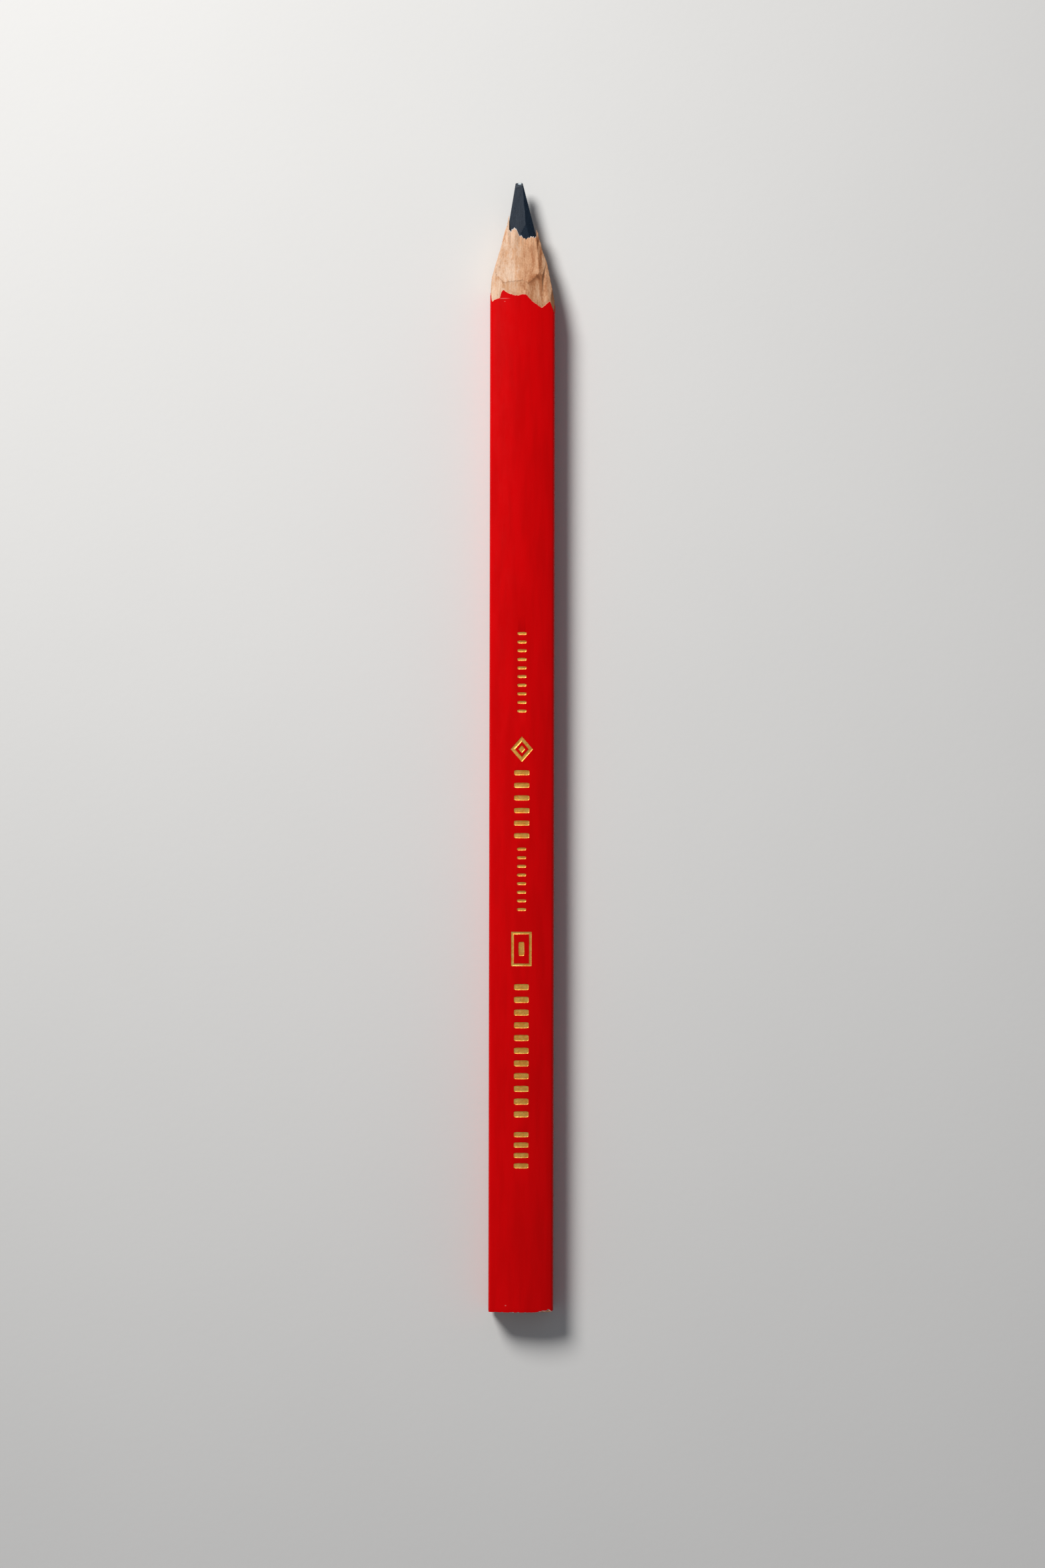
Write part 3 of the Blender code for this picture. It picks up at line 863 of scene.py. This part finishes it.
class Shader:
    def __init__(self, name):
        self.material = bpy.data.materials.new(name)
        self.material.use_nodes = True
        self.tree = self.material.node_tree
        self.surface = self.tree.nodes["Principled BSDF"]
        coordinates = self.tree.nodes.new("ShaderNodeTexCoord")
        self.place = self.math3("SCALE", coordinates.outputs["Object"], scale=1 / MM)
        self.normal = self.tree.nodes.new("ShaderNodeNewGeometry").outputs["Normal"]

    def put(self, socket, value):
        if isinstance(value, bpy.types.NodeSocket):
            self.tree.links.new(value, socket)
        else:
            socket.default_value = value

    def math3(self, operation, *values, scale=None):
        node = self.tree.nodes.new("ShaderNodeVectorMath")
        node.operation = operation
        for socket, value in zip(node.inputs, values):
            self.put(socket, value)
        if scale is not None:
            node.inputs["Scale"].default_value = scale
        return node.outputs["Value" if operation in ("DOT_PRODUCT", "LENGTH") else "Vector"]

    def math(self, operation, *values):
        node = self.tree.nodes.new("ShaderNodeMath")
        node.operation = operation
        for socket, value in zip(node.inputs, values):
            self.put(socket, value)
        return node.outputs[0]

    def noise(self, stretch, scale, detail=3.0, rough=0.55, place=None):
        node = self.tree.nodes.new("ShaderNodeTexNoise")
        self.put(node.inputs["Vector"], self.math3("MULTIPLY", place or self.place, stretch))
        node.inputs["Scale"].default_value = scale
        node.inputs["Detail"].default_value = detail
        node.inputs["Roughness"].default_value = rough
        return node.outputs["Fac"]

    def step(self, value, low, high, out_low=0.0, out_high=1.0):
        node = self.tree.nodes.new("ShaderNodeMapRange")
        node.interpolation_type = "SMOOTHSTEP"
        self.put(node.inputs["Value"], value)
        node.inputs["From Min"].default_value = low
        node.inputs["From Max"].default_value = high
        node.inputs["To Min"].default_value = out_low
        node.inputs["To Max"].default_value = out_high
        return node.outputs["Result"]

    def attribute(self, name):
        node = self.tree.nodes.new("ShaderNodeAttribute")
        node.attribute_name = name
        return node.outputs["Fac"]

    def mix(self, factor, a, b, blend="MIX"):
        node = self.tree.nodes.new("ShaderNodeMix")
        node.data_type = "RGBA"
        node.blend_type = blend
        self.put(node.inputs["Factor"], factor)
        self.put(node.inputs[6], a)
        self.put(node.inputs[7], b)
        return node.outputs[2]

    def spot(self, x, y, half_x, half_y, soft=0.3):
        """One inside an ellipse seen from above, and zero outside it."""
        off = self.math3("SUBTRACT", self.place, (x, y, 0))
        far = self.math3("LENGTH", self.math3("MULTIPLY", off, (1 / half_x, 1 / half_y, 0)))
        return self.step(far, 1 - soft, 1 + soft, 1.0, 0.0)

    def axis(self, vector, index):
        node = self.tree.nodes.new("ShaderNodeSeparateXYZ")
        self.put(node.inputs[0], vector)
        return node.outputs[index]

    def bump(self, height, distance, strength=1.0, normal=None):
        node = self.tree.nodes.new("ShaderNodeBump")
        self.put(node.inputs["Height"], height)
        node.inputs["Distance"].default_value = distance * MM
        node.inputs["Strength"].default_value = strength
        if normal:
            self.put(node.inputs["Normal"], normal)
        return node.outputs["Normal"]

    def finish(self, **inputs):
        for name, value in inputs.items():
            self.put(self.surface.inputs[name.replace("_", " ")], value)
        return self.material


def srgb(red, green, blue):
    def linear(value):
        value /= 255
        return value / 12.92 if value <= 0.04045 else ((value + 0.055) / 1.055) ** 2.4
    return (linear(red), linear(green), linear(blue), 1)


WOOD_THIN_HIGHLIGHT = srgb(206, 212, 220)
WOOD_PALE = srgb(223, 191, 165)
WOOD_TAN = srgb(208, 160, 123)
WOOD_BROWN = srgb(172, 114, 76)
WOOD_DARK = srgb(118, 70, 42)


def lacquer_finish():
    s = Shader("red_lacquer")
    cloudy = s.noise((1, 0.12, 1), 0.7, 3)
    colour = s.mix(s.step(cloudy, 0.3, 0.7), (0.63, 0.0004, 0.0014, 1), (0.56, 0.0003, 0.0010, 1))
    nicks = s.math("ADD", s.spot(-3.0, TIP - 18.5, 0.7, 0.05, 0.8), s.spot(-2.8, TIP - 19.0, 0.1, 0.05))
    nicks = s.math("ADD", nicks, s.spot(-2.4, BUTT + 1.1, 0.12, 0.08))
    colour = s.mix(s.math("MULTIPLY", nicks, 0.3), colour, srgb(246, 170, 160))
    peel = s.noise((1, 0.2, 1), 1.1, 2, 0.4)
    fine = s.noise((1, 1, 1), 5.0, 2, 0.5)
    hairlines = s.step(s.noise((9, 0.25, 9), 1.0, 2, 0.5), 0.68, 0.74)
    rough = s.math("MULTIPLY_ADD", s.noise((1, 0.5, 1), 0.8, 3), 0.14, 0.20)
    rough = s.math("MULTIPLY_ADD", hairlines, 0.10, rough)
    normal = s.bump(peel, 0.018, 0.4)
    normal = s.bump(fine, 0.003, 0.5, normal)
    return s.finish(Base_Color=colour, Roughness=rough, Normal=normal, Specular_IOR_Level=0.09)


def primer_finish():
    s = Shader("pale_primer")
    grain = s.noise((1, 1, 1), 3.0)
    pale = s.mix(grain, srgb(228, 180, 176), srgb(240, 212, 206))
    soaked = s.mix(grain, srgb(206, 150, 112), srgb(222, 172, 136))
    knife = s.step(s.axis(s.place, 1), TIP - 26, TIP - 25)
    colour = s.mix(knife, pale, soaked)
    return s.finish(Base_Color=colour, Roughness=0.7, Normal=s.bump(s.noise((1, 1, 1), 6), 0.01))


def wood_finish():
    s = Shader("knife_cut_cedar")
    tone = s.attribute("tone")
    torn_and_shade = s.attribute("torn_and_shade")
    thin = s.attribute("thin")
    fibre = s.noise((1, 0.05, 1), 5.5, 4, 0.65)
    broad = s.noise((1, 0.10, 1), 1.6, 3, 0.55)
    mottle = s.noise((1, 0.6, 1), 4.5, 3, 0.6)
    tone = s.math("ADD", tone, s.step(broad, 0.3, 0.7, -0.22, 0.22))
    tone = s.math("ADD", tone, s.step(mottle, 0.3, 0.7, -0.14, 0.14))
    # The stroke tone browns the wood; part of it is painted shade on facets that face away from the
    # light
    colour = s.mix(s.step(tone, -0.15, 0.5), WOOD_PALE, WOOD_TAN)
    colour = s.mix(s.step(tone, 0.4, 1.1), colour, WOOD_BROWN)
    colour = s.mix(s.step(tone, 1.0, 1.8, 0.0, 0.8), colour, WOOD_DARK)
    colour = s.mix(s.step(fibre, 0.40, 0.72, 0.0, 0.45), colour, s.mix(0.55, colour, WOOD_DARK))
    fleck = s.step(s.noise((1, 0.13, 1), 7.5, 2, 0.5), 0.62, 0.74, 0.0, 0.25)
    colour = s.mix(fleck, colour, WOOD_DARK)
    # Painted shade: the torn steps under higher strokes and the foot of the split's wall are darkened
    # where shade falls, partly also torn wood
    colour = s.mix(s.step(torn_and_shade, 0.1, 1.0, 0.0, 0.55), colour, WOOD_DARK)
    # Painted highlight: the thin wood at the broken end over the core is lit pale and bluish
    colour = s.mix(s.step(thin, 0.3, 0.9, 0.0, 0.85), colour, WOOD_THIN_HIGHLIGHT)
    endwise = s.math("ABSOLUTE", s.axis(s.normal, 1))
    end = s.step(endwise, 0.75, 0.92)
    far = s.math3("LENGTH", s.math3("MULTIPLY_ADD", s.place, (1, 0, 1), (3.0, 0, 14.0)))
    waver = s.math("MULTIPLY_ADD", s.noise((1, 0, 1), 0.5), 0.9, far)
    rings = s.step(s.math("SINE", s.math("MULTIPLY", waver, 7.0)), -0.3, 1.0)
    pores = s.step(s.noise((1, 0, 1), 9.0, 2), 0.56, 0.70)
    end_colour = s.mix(rings, srgb(205, 150, 108), srgb(168, 112, 74))
    end_colour = s.mix(s.math("MULTIPLY", pores, 0.5), end_colour, srgb(110, 66, 42))
    colour = s.mix(end, colour, end_colour)
    normal = s.bump(fibre, 0.022, 0.8)
    normal = s.bump(mottle, 0.010, 0.5, normal)
    normal = s.bump(fleck, -0.01, 0.5, normal)
    return s.finish(Base_Color=colour, Roughness=0.75, Normal=normal, Specular_IOR_Level=0.2)


def glue_finish():
    s = Shader("glue_film")
    colour = s.mix(s.noise((1, 0.2, 1), 1.5), srgb(176, 122, 72), srgb(140, 92, 54))
    return s.finish(Base_Color=colour, Roughness=0.45, Normal=s.bump(s.noise((1, 1, 1), 4), 0.01))


def graphite_finish():
    s = Shader("graphite")
    grain = s.noise((1, 1, 1), 6.0, 4, 0.7)
    streak = s.noise((1, 0.08, 1), 6.0, 3, 0.6)
    colour = s.mix(s.step(grain, 0.3, 0.7), (0.004, 0.009, 0.019, 1), (0.014, 0.025, 0.042, 1))
    colour = s.mix(s.step(streak, 0.45, 0.8, 0.0, 0.5), colour, (0.022, 0.036, 0.056, 1))
    # Painted highlight: a pale spot on the worn point stands in for its glint
    colour = s.mix(s.spot(-0.5, TIP - 0.14, 0.27, 0.12), colour, (0.50, 0.58, 0.62, 1))
    rough = s.math("MULTIPLY_ADD", streak, -0.15, 0.50)
    normal = s.bump(grain, 0.010, 0.7)
    normal = s.bump(streak, 0.008, 0.6, normal)
    return s.finish(Base_Color=colour, Roughness=rough, Normal=normal, Specular_IOR_Level=0.13)


def foil_finish():
    s = Shader("gold_foil")
    tone = s.noise((1, 1, 1), 1.3, 3)
    gold = s.mix(s.step(tone, 0.3, 0.7), (0.94, 0.39, 0.055, 1), (0.98, 0.56, 0.12, 1))
    worn = s.step(s.noise((1, 1, 1), 7.0, 3, 0.6), 0.64, 0.70)
    colour = s.mix(worn, gold, (0.50, 0.012, 0.010, 1))
    rough = s.math("MULTIPLY_ADD", s.noise((1, 1, 1), 3.0), 0.24, 0.28)
    normal = s.bump(s.noise((1, 1, 1), 3.2), 0.030, 0.9)
    normal = s.bump(s.noise((1, 1, 1), 9.0), 0.006, 0.7, normal)
    return s.finish(Base_Color=colour, Metallic=0.7, Roughness=rough, Normal=normal)


def floor_finish():
    s = Shader("pale_floor")
    colour = s.mix(s.noise((1, 1, 1), 0.02, 3), (0.72, 0.72, 0.715, 1), (0.75, 0.75, 0.745, 1))
    return s.finish(Base_Color=colour, Roughness=0.85, Normal=s.bump(s.noise((1, 1, 1), 0.8), 0.01))


# Camera, light and floor

FOCAL = 100.0
FILM = 36.0
VIEW_LENGTH = 246.5  # the picture's height, measured at the pencil's upper face
VIEW_X, VIEW_Y = 0.12, -5.87
VIEW_ROLL = 0.11


def make_camera():
    data = bpy.data.cameras.new("camera")
    data.lens = FOCAL
    data.sensor_width = FILM
    data.clip_start, data.clip_end = 0.01, 10
    camera = bpy.data.objects.new("camera", data)
    height = THICKNESS + VIEW_LENGTH * FOCAL / FILM
    camera.location = Vector((VIEW_X, VIEW_Y, height)) * MM
    camera.rotation_euler = (0, 0, math.radians(VIEW_ROLL))
    bpy.context.scene.collection.objects.link(camera)
    bpy.context.scene.camera = camera


# The studio: one soft light, in metres and watts, under a faint even sky
FLOOR_SIZE = 6
LIGHT_PLACE = (-0.291, 0.403, 0.442)
LIGHT_AIM = (0, 0.03, 0)
LIGHT_SIZE = 0.26
LIGHT_POWER = 1.36
LIGHT_SPREAD = 95  # narrow enough to spare the floor below the light
LIGHT_COLOUR = (1.0, 0.98, 0.95)
SKY_COLOUR = (0.9, 0.93, 1.0, 1)
SKY_STRENGTH = 0.18


def make_light():
    data = bpy.data.lights.new("key", "AREA")
    data.shape = "DISK"
    data.size = LIGHT_SIZE
    data.energy = LIGHT_POWER
    data.spread = math.radians(LIGHT_SPREAD)
    data.color = LIGHT_COLOUR
    light = bpy.data.objects.new("key", data)
    light.location = LIGHT_PLACE
    away = Vector(LIGHT_PLACE) - Vector(LIGHT_AIM)
    light.rotation_euler = away.to_track_quat("Z", "Y").to_euler()
    bpy.context.scene.collection.objects.link(light)


def make_floor():
    bpy.ops.mesh.primitive_plane_add(size=FLOOR_SIZE)
    floor = bpy.context.object
    floor.name = "floor"
    floor.data.materials.append(floor_finish())


def make_sky():
    world = bpy.data.worlds.new("studio")
    world.use_nodes = True
    background = world.node_tree.nodes["Background"]
    background.inputs["Color"].default_value = SKY_COLOUR
    background.inputs["Strength"].default_value = SKY_STRENGTH
    bpy.context.scene.world = world


wood = wood_finish()
show(slat("slat_upper", 1, UPPER_SEED, wood), "cedar", "upper_slat")
show(slat("slat_lower", -1, LOWER_SEED, wood), "cedar", "lower_slat")
glue = glue_finish()
show(glue_line("glue_left", -1, glue), "glue", "glue_line_left")
show(glue_line("glue_right", 1, glue), "glue", "glue_line_right")
show(core(graphite_finish()), "graphite", "graphite_core")
make_coats(lacquer_finish(), primer_finish())
make_foil(foil_finish())
make_camera()
make_floor()
make_light()
make_sky()
bpy.context.scene.view_settings.view_transform = "Standard"
